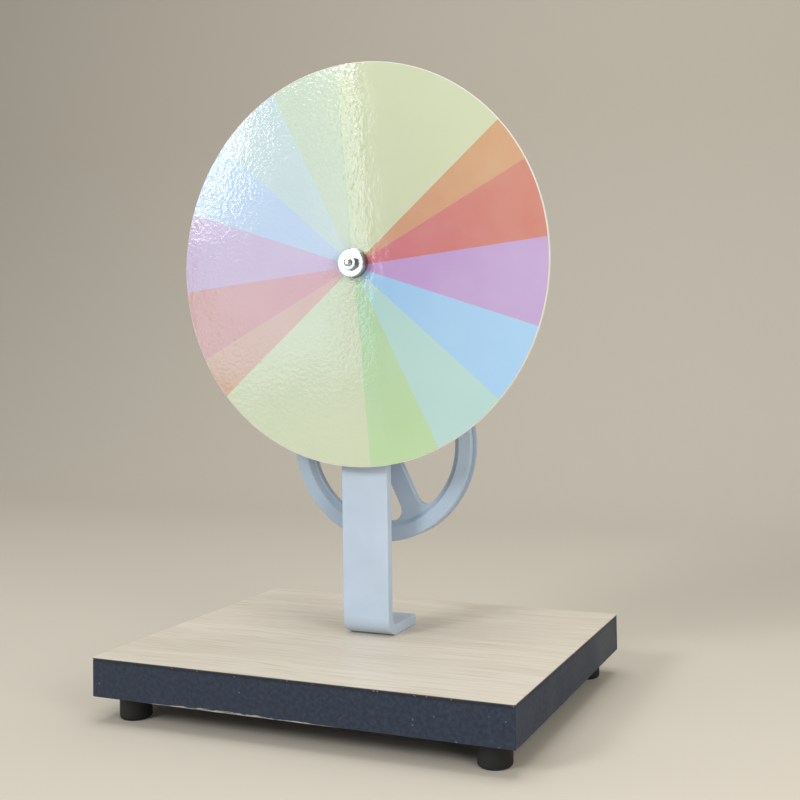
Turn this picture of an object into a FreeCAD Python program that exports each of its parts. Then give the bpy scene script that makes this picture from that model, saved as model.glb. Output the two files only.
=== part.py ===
import FreeCAD, Part
import math
import os

# Hand-cranked Newton colour disc: a disc on a spindle, turned by a belt from a cranked wheel.
# Millimetres. X runs to the viewer's right, Y away from the viewer, Z up.
# The origin is on the bench, below the middle of the base board.

# Base board and its laminated top
board_length = 208.0
board_depth = 162.0
board_thickness = 18.0
board_edge_radius = 0.8
laminate_thickness = 0.8

# Rubber feet and their screws
foot_diameter = 15.0
foot_height = 12.0
foot_inset = 14.0
foot_edge_radius = 1.6
foot_recess_diameter = 9.0
foot_recess_depth = 5.0
foot_screw_diameter = 3.5
foot_screw_bite = 11.0
foot_screw_head_diameter = 7.4
foot_screw_head_height = 2.4

# Upright: a flat bar bent to an L, with its foot running back along the board
bar_width = 25.0
bar_thickness = 5.0
bar_front_y = -5.0
bend_radius = 9.0
bar_foot_length = 33.0
bar_toe_radius = 2.0
bar_corner_radius = 5.0
bar_top_margin = 14.0
bar_edge_round = 0.5

# Screws that hold the bar's foot from below the board
bar_screw_diameter = 5.0
bar_screw_head_diameter = 9.0
bar_screw_head_height = 3.2
bar_screw_setback = 12.0
bar_screw_spacing = 14.0
bar_washer_diameter = 9.6
bar_washer_thickness = 1.0
bar_counterbore_diameter = 11.0
bar_counterbore_depth = 5.5

# Axes above the board, and the fits of what turns
wheel_axis_height = 93.5
centre_distance = 90.0
running_clearance = 0.04
bolt_clearance = 0.1
end_float = 0.25
washer_thickness = 0.8

# Belt and its plane
belt_plane_y = 18.0
belt_diameter = 3.0
belt_gap = 0.3

# Drive wheel
wheel_diameter = 100.0
wheel_width = 9.0
wheel_belt_depth = 2.5
rim_wall = 6.8
rim_draft = 2.2
rim_edge = 0.8
rim_inner_round = 0.8
web_ledge = 3.0
spoke_count = 3
spoke_width = 10.0
spoke_thickness = 4.0
spoke_lean = 25.5
window_corner_radius = 5.5
window_hub_corner_radius = 3.5
window_edge_chamfer = 0.5
hub_flare_diameter = 25.0
hub_diameter = 20.0
hub_length = 16.0
hub_chamfer = 0.8
wheel_bush_wall = 1.6

# Wheel axle
axle_diameter = 8.0
axle_flange_diameter = 14.0
axle_flange_thickness = 2.0
axle_thread_diameter = 5.0
axle_thread_overhang = 0.5
axle_nut_width = 8.0
axle_nut_height = 2.7
axle_spacer_diameter = 12.0
axle_washer_diameter = 14.0
axle_end_washer_diameter = 16.0
axle_end_washer_thickness = 1.2
axle_screw_diameter = 4.0
axle_screw_bite = 9.0
axle_screw_head_width = 7.0
axle_screw_head_height = 2.8

# Disc
disc_diameter = 200.0
disc_thickness = 2.0
print_thickness = 0.2
print_margin = 0.3

# Spindle, its bush, and the stack that clamps the disc
spindle_diameter = 6.0
bush_diameter = 10.0
bush_flange_diameter = 14.0
bush_flange_thickness = 1.6
bush_washer_diameter = 18.0
bush_washer_thickness = 1.0
bush_nut_width = 14.0
bush_nut_height = 3.0
bush_tail = 4.2
thrust_washer_diameter = 11.0
flange_diameter = 18.0
flange_thickness = 2.0
stud_diameter = 4.0
collar_diameter = 14.4
collar_thickness = 3.0
front_washer_diameter = 14.2
front_washer_thickness = 2.0
front_edge_chamfer = 0.4
hub_nut_width = 7.0
hub_nut_height = 2.4
stud_overhang = 1.6

# Driven pulley
pulley_diameter = 24.0
pulley_width = 9.0
pulley_belt_depth = 2.5
pulley_edge = 0.6
pulley_boss_diameter = 14.0
spindle_tail = 1.5
set_screw_diameter = 3.0
set_screw_recess = 0.3

# Crank
crank_radius = 32.0
crank_spoke = 1
boss_diameter = 13.0
boss_rise = 5.0
crank_stud_diameter = 6.0
crank_thread_diameter = 5.0
crank_thread_overhang = 0.8
crank_flange_diameter = 11.0
crank_flange_thickness = 2.0
crank_nut_width = 8.0
crank_nut_height = 3.2
grip_length = 36.0
grip_end_diameter = 14.0
grip_belly_diameter = 18.0
grip_edge_round = 1.5
grip_recess_diameter = 11.0
grip_recess_depth = 5.0
crank_washer_diameter = 9.6
crank_washer_thickness = 1.0
crank_screw_diameter = 3.5
crank_screw_bite = 10.0
crank_screw_head_diameter = 6.6
crank_screw_head_height = 2.4
screw_slot_width = 1.0
screw_slot_depth = 1.0
nut_corner_chamfer = 0.6

# Heights
board_bottom_z = foot_height
board_top_z = board_bottom_z + board_thickness
core_top_z = board_top_z - laminate_thickness
wheel_z = board_top_z + wheel_axis_height
spindle_z = wheel_z + centre_distance
bar_top_z = spindle_z + bar_top_margin

# Places along Y, from the bar outwards to the front
bar_rear_y = bar_front_y + bar_thickness
bush_front_y = bar_front_y - bush_flange_thickness
front_thrust_y = bush_front_y - end_float
flange_rear_y = front_thrust_y - washer_thickness
disc_rear_y = flange_rear_y - flange_thickness
disc_core_front_y = disc_rear_y - disc_thickness + print_thickness
disc_front_y = disc_rear_y - disc_thickness
collar_front_y = disc_front_y - collar_thickness
front_washer_y = collar_front_y - front_washer_thickness
hub_nut_front_y = front_washer_y - hub_nut_height
stud_front_y = hub_nut_front_y - stud_overhang

# Places along Y, from the bar backwards
bush_rear_y = bar_rear_y + bush_washer_thickness + bush_nut_height + bush_tail
rear_thrust_y = bush_rear_y + end_float
pulley_front_y = rear_thrust_y + washer_thickness
pulley_rear_y = belt_plane_y + pulley_width / 2
hub_front_y = belt_plane_y - hub_length / 2
hub_rear_y = belt_plane_y + hub_length / 2
axle_flange_rear_y = bar_rear_y + axle_flange_thickness
axle_washer_y = hub_front_y - end_float - washer_thickness
axle_end_y = hub_rear_y + end_float
spoke_front_y = belt_plane_y - spoke_thickness / 2
spoke_rear_y = belt_plane_y + spoke_thickness / 2
boss_rear_y = spoke_rear_y + boss_rise
crank_flange_rear_y = boss_rear_y + crank_flange_thickness
grip_front_y = crank_flange_rear_y + end_float
grip_rear_y = grip_front_y + grip_length
crank_end_y = grip_rear_y - grip_recess_depth + end_float

# Pitch radii are measured at the middle of the belt
groove_radius = belt_diameter / 2 + belt_gap
wheel_pitch_radius = wheel_diameter / 2 - wheel_belt_depth
pulley_pitch_radius = pulley_diameter / 2 - pulley_belt_depth
rim_inner_radius = wheel_diameter / 2 - rim_wall
window_outer_radius = rim_inner_radius - web_ledge
wheel_bush_radius = axle_diameter / 2 + running_clearance + wheel_bush_wall

# Spokes are counted from the lowest one, anticlockwise as the viewer sees them
crank_angle = math.radians(spoke_lean - 90 + crank_spoke * 360 / spoke_count)
crank_x = crank_radius * math.cos(crank_angle)
crank_z = wheel_z + crank_radius * math.sin(crank_angle)

ALONG_Y = FreeCAD.Vector(0, 1, 0)
ALONG_Z = FreeCAD.Vector(0, 0, 1)


def point(x, y, z):
    return FreeCAD.Vector(x, y, z)


# A piece turned about the line parallel to Y through (x, z). The outline holds (radius, y) corners;
# a corner of three numbers (radius, y, round) gets that round.
def turned(outline, x, z):
    corners = [point(x + c[0], c[1], z) for c in outline]
    rounds = [c[2] if len(c) > 2 else 0 for c in outline]
    edges = []
    starts = []
    for i, corner in enumerate(corners):
        before = corners[i - 1]
        after = corners[(i + 1) % len(corners)]
        if rounds[i] == 0:
            starts.append((corner, corner, None))
            continue
        back = (before - corner).normalize()
        on = (after - corner).normalize()
        half = back.getAngle(on) / 2
        reach = rounds[i] / math.tan(half)
        centre = corner + (back + on).normalize() * (rounds[i] / math.sin(half))
        middle = centre + (corner - centre).normalize() * rounds[i]
        starts.append((corner + back * reach, corner + on * reach, middle))
    for i, (enter, leave, middle) in enumerate(starts):
        if middle is not None:
            edges.append(Part.Arc(enter, middle, leave).toShape())
        following = starts[(i + 1) % len(starts)][0]
        if (following - leave).Length > 1e-6:
            edges.append(Part.makeLine(leave, following))
    face = Part.Face(Part.Wire(edges))
    return face.revolve(point(x, 0, z), ALONG_Y, 360)


def ring(outer_radius, inner_radius, y_front, y_rear, x, z, edge=0.0):
    outline = [(inner_radius, y_front), (outer_radius - edge, y_front), (outer_radius, y_front + edge),
               (outer_radius, y_rear - edge), (outer_radius - edge, y_rear), (inner_radius, y_rear)]
    if edge == 0:
        outline = [outline[0], outline[2], outline[3], outline[5]]
    return turned(outline, x, z)


def rod(radius, y_front, y_rear, x, z):
    return Part.makeCylinder(radius, y_rear - y_front, point(x, y_front, z), ALONG_Y)


# A six-sided prism across flats, with its corners taken off at both faces
def hexagon(width, y_front, y_rear, x, z, bore_radius):
    corner = width / 2 / math.cos(math.pi / 6)
    places = [math.pi / 6 + i * math.pi / 3 for i in range(7)]
    outline = [point(x + corner * math.cos(a), y_front, z + corner * math.sin(a)) for a in places]
    prism = Part.Face(Part.makePolygon(outline)).extrude(point(0, y_rear - y_front, 0))
    rounded = ring(corner, 0, y_front, y_rear, x, z, nut_corner_chamfer)
    body = prism.common(rounded)
    if bore_radius > 0:
        body = body.cut(rod(bore_radius, y_front - 1, y_rear + 1, x, z))
    return body


def upright_cylinder(radius, z_low, z_high, x, y):
    return Part.makeCylinder(radius, z_high - z_low, point(x, y, z_low), ALONG_Z)


def foot_places():
    x = board_length / 2 - foot_inset
    y = board_depth / 2 - foot_inset
    return [(sx * x, sy * y) for sx in (-1, 1) for sy in (-1, 1)]


def bar_screw_places():
    y = bar_front_y + bar_screw_setback
    return [(0, y), (0, y + bar_screw_spacing)]


# The board's core, with the counterbores and pilot holes in its underside
def make_board():
    board = Part.makeBox(board_length, board_depth, core_top_z - board_bottom_z,
                         point(-board_length / 2, -board_depth / 2, board_bottom_z))
    upright = [e for e in board.Edges if abs(e.tangentAt(e.FirstParameter).z) > 0.99]
    board = board.makeFillet(board_edge_radius, upright)
    for x, y in foot_places():
        board = board.cut(upright_cylinder(foot_screw_diameter / 2, board_bottom_z - 1,
                                           board_bottom_z + foot_screw_bite, x, y))
    for x, y in bar_screw_places():
        board = board.cut(upright_cylinder(bar_screw_diameter / 2 + bolt_clearance, board_bottom_z - 1,
                                           core_top_z + 1, x, y))
        board = board.cut(upright_cylinder(bar_counterbore_diameter / 2, board_bottom_z - 1,
                                           board_bottom_z + bar_counterbore_depth, x, y))
    return board


def make_laminate():
    sheet = Part.makeBox(board_length, board_depth, laminate_thickness,
                         point(-board_length / 2, -board_depth / 2, core_top_z))
    upright = [e for e in sheet.Edges if abs(e.tangentAt(e.FirstParameter).z) > 0.99]
    sheet = sheet.makeFillet(board_edge_radius, upright)
    for x, y in bar_screw_places():
        sheet = sheet.cut(upright_cylinder(bar_screw_diameter / 2 + bolt_clearance, core_top_z - 1,
                                           board_top_z + 1, x, y))
    return sheet


# Moulded feet: a rounded lower edge, a screw hole and a recess for the screw's head
def make_feet():
    feet = []
    for x, y in foot_places():
        foot = upright_cylinder(foot_diameter / 2, 0, foot_height, x, y)
        lower = [e for e in foot.Edges if e.BoundBox.ZMax < foot_edge_radius / 2]
        foot = foot.makeFillet(foot_edge_radius, lower)
        foot = foot.cut(upright_cylinder(foot_screw_diameter / 2, -1, foot_height + 1, x, y))
        foot = foot.cut(upright_cylinder(foot_recess_diameter / 2, -1, foot_recess_depth, x, y))
        feet.append(foot)
    return Part.makeCompound(feet)


def make_foot_screws():
    screws = []
    for x, y in foot_places():
        shank = upright_cylinder(foot_screw_diameter / 2, foot_recess_depth,
                                 board_bottom_z + foot_screw_bite, x, y)
        head = upright_cylinder(foot_screw_head_diameter / 2, foot_recess_depth - foot_screw_head_height,
                                foot_recess_depth, x, y)
        slot = Part.makeBox(foot_screw_head_diameter, screw_slot_width, screw_slot_depth,
                            point(x - foot_screw_head_diameter / 2, y - screw_slot_width / 2,
                                  foot_recess_depth - foot_screw_head_height))
        screws.append(shank.fuse(head).cut(slot).removeSplitter())
    return Part.makeCompound(screws)


# The bent flat bar, drawn as its side outline and given its width
def make_bar():
    inner = bend_radius - bar_thickness
    toe_y = bar_front_y + bar_foot_length
    bend_y = bar_front_y + bend_radius
    bend_z = board_top_z + bend_radius
    slant = math.sin(math.pi / 4)

    def side(y, z):
        return point(-bar_width / 2, y, z)

    edges = [
        Part.makeLine(side(bar_front_y, bar_top_z), side(bar_front_y, bend_z)),
        Part.Arc(side(bar_front_y, bend_z), side(bend_y - bend_radius * slant, bend_z - bend_radius * slant),
                 side(bend_y, board_top_z)).toShape(),
        Part.makeLine(side(bend_y, board_top_z), side(toe_y, board_top_z)),
        Part.makeLine(side(toe_y, board_top_z), side(toe_y, board_top_z + bar_thickness)),
        Part.makeLine(side(toe_y, board_top_z + bar_thickness), side(bend_y, board_top_z + bar_thickness)),
        Part.Arc(side(bend_y, board_top_z + bar_thickness), side(bend_y - inner * slant, bend_z - inner * slant),
                 side(bar_rear_y, bend_z)).toShape(),
        Part.makeLine(side(bar_rear_y, bend_z), side(bar_rear_y, bar_top_z)),
        Part.makeLine(side(bar_rear_y, bar_top_z), side(bar_front_y, bar_top_z)),
    ]
    bar = Part.Face(Part.Wire(edges)).extrude(point(bar_width, 0, 0))
    top = [e for e in bar.Edges
           if e.BoundBox.ZMin > bar_top_z - 0.01 and e.BoundBox.YMax - e.BoundBox.YMin > bar_thickness / 2]
    bar = bar.makeFillet(bar_corner_radius, top)
    toe = [e for e in bar.Edges if e.BoundBox.YMin > toe_y - 0.01 and e.BoundBox.ZLength > bar_thickness / 2]
    bar = bar.makeFillet(bar_toe_radius, toe)
    bar = bar.makeFillet(bar_edge_round, rim_edges(bar))
    bar = bar.cut(rod(bush_diameter / 2, bar_front_y - 1, bar_rear_y + 1, 0, spindle_z))
    bar = bar.cut(rod(axle_thread_diameter / 2 + bolt_clearance, bar_front_y - 1, bar_rear_y + 1, 0, wheel_z))
    for x, y in bar_screw_places():
        bar = bar.cut(upright_cylinder(bar_screw_diameter / 2, board_top_z - 1,
                                       board_top_z + bar_thickness + 1, x, y))
    return bar


# The edges all round the bar's two broad faces, without those that run straight through its thickness
def rim_edges(bar):
    found = []
    for edge in bar.Edges:
        box = edge.BoundBox
        through = abs(edge.Length - bar_thickness) < 0.01 and box.XLength < 0.01
        if not through and not (box.XLength > bar_width - 0.01 and is_bend_seam(box)):
            found.append(edge)
    return found


# A line straight across the bar where a flat meets a bend
def is_bend_seam(box):
    return bar_front_y + 0.01 < box.YMin < bar_front_y + bend_radius + 0.01 or (
        board_top_z + 0.01 < box.ZMin < board_top_z + bend_radius + 0.01)


def make_bar_screws():
    screws = []
    seat_z = board_bottom_z + bar_counterbore_depth - bar_washer_thickness
    for x, y in bar_screw_places():
        shank = upright_cylinder(bar_screw_diameter / 2, seat_z, board_top_z + bar_thickness, x, y)
        head = upright_cylinder(bar_screw_head_diameter / 2, seat_z - bar_screw_head_height, seat_z, x, y)
        slot = Part.makeBox(bar_screw_head_diameter, screw_slot_width, screw_slot_depth,
                            point(x - bar_screw_head_diameter / 2, y - screw_slot_width / 2,
                                  seat_z - bar_screw_head_height))
        screws.append(shank.fuse(head).cut(slot).removeSplitter())
    return Part.makeCompound(screws)


def make_bar_washers():
    top_z = board_bottom_z + bar_counterbore_depth
    washers = []
    for x, y in bar_screw_places():
        washer = upright_cylinder(bar_washer_diameter / 2, top_z - bar_washer_thickness, top_z, x, y)
        bore = upright_cylinder(bar_screw_diameter / 2 + bolt_clearance, board_bottom_z, top_z + 1, x, y)
        washers.append(washer.cut(bore))
    return Part.makeCompound(washers)


# Flanged bush that carries the spindle, clamped through the bar by its nut
def make_spindle_bush():
    bore = spindle_diameter / 2 + running_clearance
    outline = [(bore, bush_front_y), (bush_flange_diameter / 2, bush_front_y, bush_flange_thickness / 4),
               (bush_flange_diameter / 2, bar_front_y), (bush_diameter / 2, bar_front_y),
               (bush_diameter / 2, bush_rear_y, nut_corner_chamfer), (bore, bush_rear_y)]
    return turned(outline, 0, spindle_z)


def make_bush_washer():
    return ring(bush_washer_diameter / 2, bush_diameter / 2, bar_rear_y,
                bar_rear_y + bush_washer_thickness, 0, spindle_z)


def make_bush_nut():
    front = bar_rear_y + bush_washer_thickness
    return hexagon(bush_nut_width, front, front + bush_nut_height, 0, spindle_z, bush_diameter / 2)


# Spindle: journal, shoulder behind the disc, and a thinner stud with a domed end in front
def make_spindle():
    journal = spindle_diameter / 2
    stud = stud_diameter / 2
    outline = [(0, stud_front_y), (stud, stud_front_y, stud * 0.6), (stud, disc_rear_y),
               (journal, disc_rear_y), (journal, pulley_rear_y + spindle_tail, journal / 4),
               (0, pulley_rear_y + spindle_tail)]
    return turned(outline, 0, spindle_z)


def make_disc_flange():
    return ring(flange_diameter / 2, spindle_diameter / 2, disc_rear_y, flange_rear_y, 0, spindle_z,
                flange_thickness / 5)


def make_disc_core():
    return ring(disc_diameter / 2, stud_diameter / 2 + bolt_clearance, disc_core_front_y, disc_rear_y,
                0, spindle_z)


def make_disc_print():
    return ring(disc_diameter / 2 - print_margin, stud_diameter / 2 + bolt_clearance, disc_front_y,
                disc_core_front_y, 0, spindle_z)


def make_collar():
    return ring(collar_diameter / 2, stud_diameter / 2 + bolt_clearance, collar_front_y, disc_front_y,
                0, spindle_z, front_edge_chamfer)


def make_front_washer():
    return ring(front_washer_diameter / 2, stud_diameter / 2 + bolt_clearance, front_washer_y,
                collar_front_y, 0, spindle_z, front_edge_chamfer)


def make_hub_nut():
    return hexagon(hub_nut_width, hub_nut_front_y, front_washer_y, 0, spindle_z, stud_diameter / 2)


def make_thrust_washers():
    front = ring(thrust_washer_diameter / 2, spindle_diameter / 2, flange_rear_y, front_thrust_y, 0, spindle_z)
    rear = ring(thrust_washer_diameter / 2, spindle_diameter / 2, rear_thrust_y, pulley_front_y, 0, spindle_z)
    return Part.makeCompound([front, rear])


# A grooved rim's section: flat flanks and a round groove floor that clears the belt by belt_gap
def groove_cutter(pitch_radius, outer_radius, z):
    reach = outer_radius + 1
    flare = (reach - pitch_radius) * math.tan(math.radians(12))
    low = belt_plane_y - groove_radius
    high = belt_plane_y + groove_radius
    edges = [
        Part.Arc(point(pitch_radius, low, z), point(pitch_radius - groove_radius, belt_plane_y, z),
                 point(pitch_radius, high, z)).toShape(),
        Part.makeLine(point(pitch_radius, high, z), point(reach, high + flare, z)),
        Part.makeLine(point(reach, high + flare, z), point(reach, low - flare, z)),
        Part.makeLine(point(reach, low - flare, z), point(pitch_radius, low, z)),
    ]
    return Part.Face(Part.Wire(edges)).revolve(point(0, 0, z), ALONG_Y, 360)


def make_pulley():
    radius = pulley_diameter / 2
    rim_front = belt_plane_y - pulley_width / 2
    boss = pulley_boss_diameter / 2
    outline = [(spindle_diameter / 2, pulley_front_y), (boss, pulley_front_y, pulley_edge), (boss, rim_front),
               (radius, rim_front, pulley_edge), (radius, pulley_rear_y, pulley_edge),
               (spindle_diameter / 2, pulley_rear_y)]
    pulley = turned(outline, 0, spindle_z)
    pulley = pulley.cut(groove_cutter(pulley_pitch_radius, radius, spindle_z))
    return pulley.cut(set_screw_hole())


def set_screw_y():
    return (pulley_front_y + belt_plane_y - pulley_width / 2) / 2


def set_screw_hole():
    return Part.makeCylinder(set_screw_diameter / 2, pulley_boss_diameter,
                             point(0, set_screw_y(), spindle_z), point(1, 0, 0)).cut(
        rod(spindle_diameter / 2, pulley_front_y - 1, pulley_rear_y + 1, 0, spindle_z))


def make_set_screw():
    start = spindle_diameter / 2
    length = pulley_boss_diameter / 2 - set_screw_recess - start
    screw = Part.makeCylinder(set_screw_diameter / 2, length, point(start, set_screw_y(), spindle_z),
                              point(1, 0, 0))
    socket = Part.makeBox(screw_slot_depth, set_screw_diameter, set_screw_diameter / 5,
                          point(start + length - screw_slot_depth, set_screw_y() - set_screw_diameter / 2,
                                spindle_z - set_screw_diameter / 10))
    screw = screw.cut(rod(spindle_diameter / 2, pulley_front_y, pulley_rear_y, 0, spindle_z))
    return screw.cut(socket)


# One opening between two spokes: two edges parallel to the spokes, the ledge inside the rim and the hub's flare
def wheel_window(index):
    inner = hub_flare_diameter / 2
    outer = window_outer_radius
    first = math.radians(spoke_lean - 90 + index * 360 / spoke_count)
    second = first + math.radians(360 / spoke_count)
    middle = (first + second) / 2
    half = spoke_width / 2

    def beside(angle, radius, turn):
        along = math.sqrt(radius * radius - half * half)
        x = along * math.cos(angle) - turn * half * math.sin(angle)
        z = along * math.sin(angle) + turn * half * math.cos(angle)
        return point(x, spoke_front_y - wheel_width, wheel_z + z)

    def between(radius):
        return point(radius * math.cos(middle), spoke_front_y - wheel_width,
                     wheel_z + radius * math.sin(middle))

    a, b = beside(first, inner, 1), beside(first, outer, 1)
    c, d = beside(second, outer, -1), beside(second, inner, -1)
    edges = [Part.makeLine(a, b), Part.Arc(b, between(outer), c).toShape(), Part.makeLine(c, d),
             Part.Arc(d, between(inner), a).toShape()]
    prism = Part.Face(Part.Wire(edges)).extrude(point(0, spoke_thickness + 2 * wheel_width, 0))
    across = [e for e in prism.Edges if abs(e.tangentAt(e.FirstParameter).y) > 0.99]
    at_rim = [e for e in across if distance_from_axis(e) > (inner + outer) / 2]
    at_hub = [e for e in across if distance_from_axis(e) < (inner + outer) / 2]
    prism = prism.makeFillet(window_corner_radius, at_rim)
    at_hub = [e for e in prism.Edges if abs(e.tangentAt(e.FirstParameter).y) > 0.99
              and any(same_line(e, h) for h in at_hub)]
    return prism.makeFillet(window_hub_corner_radius, at_hub)


def distance_from_axis(edge):
    place = edge.valueAt(edge.FirstParameter)
    return math.hypot(place.x, place.z - wheel_z)


def same_line(edge, other):
    here = edge.valueAt(edge.FirstParameter)
    there = other.valueAt(other.FirstParameter)
    return math.hypot(here.x - there.x, here.z - there.z) < 0.01


# Cast wheel: grooved rim that slopes inwards to a thinner web, three windows that leave a narrow ledge and
# three spokes, a hub for its bush, and the boss that carries the crank
def make_wheel():
    radius = wheel_diameter / 2
    front = belt_plane_y - wheel_width / 2
    rear = belt_plane_y + wheel_width / 2
    drafted = rim_inner_radius - rim_draft
    rim = turned([(rim_inner_radius, front, rim_inner_round), (radius, front, rim_edge), (radius, rear, rim_edge),
                  (rim_inner_radius, rear, rim_inner_round), (drafted, spoke_rear_y), (drafted, spoke_front_y)],
                 0, wheel_z)
    web = rod(rim_inner_radius, spoke_front_y, spoke_rear_y, 0, wheel_z)
    for index in range(spoke_count):
        web = web.cut(wheel_window(index))
    web = web.makeChamfer(window_edge_chamfer, window_edges(web))
    hub = ring(hub_diameter / 2, wheel_bush_radius, hub_front_y, hub_rear_y, 0, wheel_z, hub_chamfer)
    boss = rod(boss_diameter / 2, spoke_front_y, boss_rear_y, crank_x, crank_z)
    wheel = rim.fuse([web, hub, boss])
    wheel = wheel.cut(rod(wheel_bush_radius, hub_front_y - 1, hub_rear_y + 1, 0, wheel_z))
    wheel = wheel.cut(rod(crank_thread_diameter / 2, spoke_front_y - 1, boss_rear_y + 1, crank_x, crank_z))
    wheel = wheel.cut(groove_cutter(wheel_pitch_radius, radius, wheel_z))
    return wheel.removeSplitter()


# Edges of the windows on the web's two faces, without the web's own outer circles
def window_edges(web):
    found = []
    for edge in web.Edges:
        box = edge.BoundBox
        flat = box.YLength < 0.001
        if flat and distance_from_axis(edge) < window_outer_radius + 0.01:
            found.append(edge)
    return found


def make_wheel_bush():
    bore = axle_diameter / 2 + running_clearance
    return ring(wheel_bush_radius, bore, hub_front_y, hub_rear_y, 0, wheel_z)


# Fixed axle: threaded nose through the bar, flange behind it, journal for the wheel
def make_axle():
    thread = axle_thread_diameter / 2
    journal = axle_diameter / 2
    nose = bar_front_y - axle_nut_height - axle_thread_overhang
    outline = [(0, nose), (thread, nose, thread / 5), (thread, bar_rear_y),
               (axle_flange_diameter / 2, bar_rear_y), (axle_flange_diameter / 2, axle_flange_rear_y),
               (journal, axle_flange_rear_y), (journal, axle_end_y), (0, axle_end_y)]
    axle = turned(outline, 0, wheel_z)
    return axle.cut(rod(axle_screw_diameter / 2, axle_end_y - axle_screw_bite, axle_end_y + 1, 0, wheel_z))


def make_axle_nut():
    return hexagon(axle_nut_width, bar_front_y - axle_nut_height, bar_front_y, 0, wheel_z,
                   axle_thread_diameter / 2)


def make_axle_spacer():
    return ring(axle_spacer_diameter / 2, axle_diameter / 2, axle_flange_rear_y, axle_washer_y, 0, wheel_z)


def make_axle_washer():
    return ring(axle_washer_diameter / 2, axle_diameter / 2, axle_washer_y,
                axle_washer_y + washer_thickness, 0, wheel_z)


def make_axle_end_washer():
    return ring(axle_end_washer_diameter / 2, axle_screw_diameter / 2 + bolt_clearance, axle_end_y,
                axle_end_y + axle_end_washer_thickness, 0, wheel_z, axle_end_washer_thickness / 5)


def make_axle_screw():
    seat = axle_end_y + axle_end_washer_thickness
    shank = rod(axle_screw_diameter / 2, axle_end_y - axle_screw_bite, seat, 0, wheel_z)
    head = hexagon(axle_screw_head_width, seat, seat + axle_screw_head_height, 0, wheel_z, 0)
    return shank.fuse(head).removeSplitter()


# Round belt: an arc on each pulley and the two straight runs that touch both
def make_belt():
    lean = math.asin((wheel_pitch_radius - pulley_pitch_radius) / centre_distance)
    right = point(math.cos(lean), 0, math.sin(lean))
    section = belt_diameter / 2
    on_wheel = point(0, belt_plane_y, wheel_z)
    on_pulley = point(0, belt_plane_y, spindle_z)
    low = on_wheel + right * wheel_pitch_radius
    high = on_pulley + right * pulley_pitch_radius
    run = high - low
    right_run = Part.Face(Part.Wire(Part.makeCircle(section, low, run))).extrude(run)
    left_run = right_run.mirror(point(0, 0, 0), point(1, 0, 0))
    lower = Part.Face(Part.Wire(Part.makeCircle(section, low, run)))
    lower = lower.revolve(on_wheel, ALONG_Y, 180 + 2 * math.degrees(lean))
    upper = Part.Face(Part.Wire(Part.makeCircle(section, high, run)))
    upper = upper.revolve(on_pulley, ALONG_Y, -(180 - 2 * math.degrees(lean)))
    return lower.fuse([right_run, left_run, upper]).removeSplitter()


# Shoulder stud screwed through the wheel's boss, with a nut on the front side
def make_crank_stud():
    thread = crank_thread_diameter / 2
    journal = crank_stud_diameter / 2
    nose = spoke_front_y - crank_nut_height - crank_thread_overhang
    outline = [(0, nose), (thread, nose, thread / 5), (thread, boss_rear_y),
               (crank_flange_diameter / 2, boss_rear_y), (crank_flange_diameter / 2, crank_flange_rear_y),
               (journal, crank_flange_rear_y), (journal, crank_end_y), (0, crank_end_y)]
    stud = turned(outline, crank_x, crank_z)
    return stud.cut(rod(crank_screw_diameter / 2, crank_end_y - crank_screw_bite, crank_end_y + 1,
                        crank_x, crank_z))


def make_crank_nut():
    return hexagon(crank_nut_width, spoke_front_y - crank_nut_height, spoke_front_y, crank_x, crank_z,
                   crank_thread_diameter / 2)


# Barrel-shaped grip, free on the stud, with a recess for the screw that keeps it on
def make_grip():
    bore = crank_stud_diameter / 2 + running_clearance
    end = grip_end_diameter / 2
    belly = grip_belly_diameter / 2
    recess = grip_recess_diameter / 2
    floor_y = grip_rear_y - grip_recess_depth

    def at(radius, y):
        return point(crank_x + radius, y, crank_z)

    edges = [
        Part.makeLine(at(bore, grip_front_y), at(end, grip_front_y)),
        Part.Arc(at(end, grip_front_y), at(belly, (grip_front_y + grip_rear_y) / 2),
                 at(end, grip_rear_y)).toShape(),
        Part.makeLine(at(end, grip_rear_y), at(recess, grip_rear_y)),
        Part.makeLine(at(recess, grip_rear_y), at(recess, floor_y)),
        Part.makeLine(at(recess, floor_y), at(bore, floor_y)),
        Part.makeLine(at(bore, floor_y), at(bore, grip_front_y)),
    ]
    grip = Part.Face(Part.Wire(edges)).revolve(point(crank_x, 0, crank_z), ALONG_Y, 360)
    ends = [e for e in grip.Edges if e.BoundBox.YLength < 0.001
            and abs(e.BoundBox.XLength - grip_end_diameter) < 0.01]
    return grip.makeFillet(min(grip_edge_round, (end - recess) * 0.7), ends)


def make_crank_washer():
    return ring(crank_washer_diameter / 2, crank_screw_diameter / 2 + bolt_clearance, crank_end_y,
                crank_end_y + crank_washer_thickness, crank_x, crank_z)


def make_crank_screw():
    seat = crank_end_y + crank_washer_thickness
    top = seat + crank_screw_head_height
    shank = crank_screw_diameter / 2
    head = crank_screw_head_diameter / 2
    screw = turned([(0, crank_end_y - crank_screw_bite), (shank, crank_end_y - crank_screw_bite),
                    (shank, seat), (head, seat), (head, top, crank_screw_head_height / 3), (0, top)],
                   crank_x, crank_z)
    slot = Part.makeBox(crank_screw_head_diameter + 1, screw_slot_depth, screw_slot_width,
                        point(crank_x - crank_screw_head_diameter / 2 - 0.5, top - screw_slot_depth,
                              crank_z - screw_slot_width / 2))
    return screw.cut(slot)


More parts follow.
